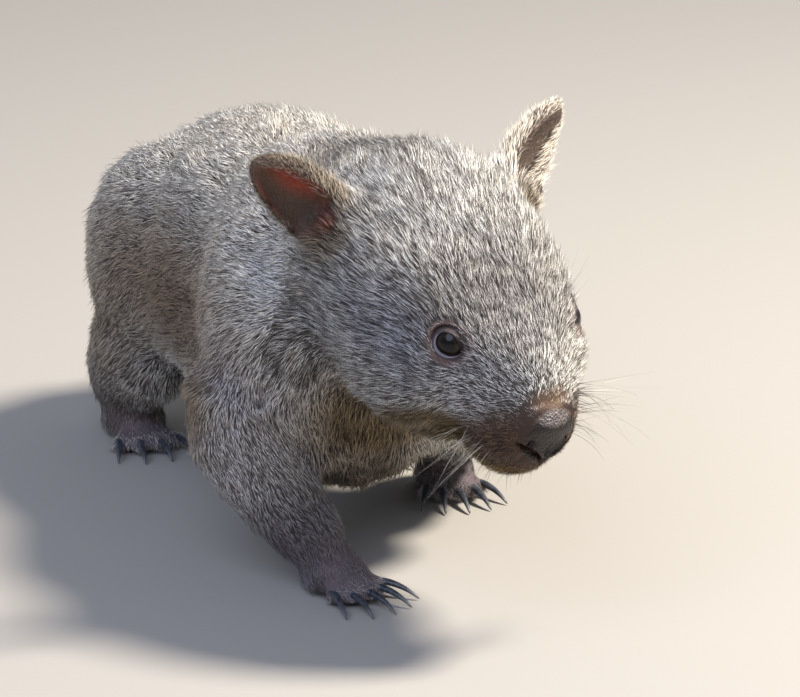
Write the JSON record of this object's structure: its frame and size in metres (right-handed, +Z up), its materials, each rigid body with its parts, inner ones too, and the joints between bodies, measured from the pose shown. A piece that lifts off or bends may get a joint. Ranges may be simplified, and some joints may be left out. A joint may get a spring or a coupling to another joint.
{
  "type": "wombat joey figure",
  "caption": "Life-size still figure of a young common wombat, walking, with short grizzled coat, cupped ears, bare nose and long claws.",
  "frame": {"origin": "on the floor, below the middle of the bounding box", "axes": "+X towards the head along the trunk, +Y to the animal's left, +Z up"},
  "size_m": [0.343, 0.14, 0.1725],
  "materials": {
    "coat": "short dense fur, matte",
    "face": "very short fur, matte",
    "ear": "thin skin with short fur, matte",
    "nose": "bare granular skin, satin",
    "leg": "short fur, matte",
    "paw": "bare skin with sparse hair, matte",
    "claw": "horn, satin",
    "eye": "wet, clear cornea over a dark iris"
  },
  "bodies": {
    "root": {"claw_forepaw_left_1": "claw", "claw_forepaw_left_2": "claw", "claw_forepaw_left_3": "claw", "claw_forepaw_left_4": "claw", "claw_forepaw_left_5": "claw", "claw_forepaw_right_1": "claw", "claw_forepaw_right_2": "claw", "claw_forepaw_right_3": "claw", "claw_forepaw_right_4": "claw", "claw_forepaw_right_5": "claw", "claw_hindpaw_left_1": "claw", "claw_hindpaw_left_2": "claw", "claw_hindpaw_left_3": "claw", "claw_hindpaw_left_4": "claw", "claw_hindpaw_right_1": "claw", "claw_hindpaw_right_2": "claw", "claw_hindpaw_right_3": "claw", "claw_hindpaw_right_4": "claw", "ear_left": "ear", "ear_right": "ear", "eye_left": "eye", "eye_right": "eye", "foreleg_left": "leg", "foreleg_right": "leg", "forepaw_left": "paw", "forepaw_right": "paw", "head": "face", "hindleg_left": "leg", "hindleg_right": "leg", "hindpaw_left": "paw", "hindpaw_right": "paw", "neck": "coat", "nose": "nose", "tail": "coat", "torso": "coat"}
  },
  "joints": []
}
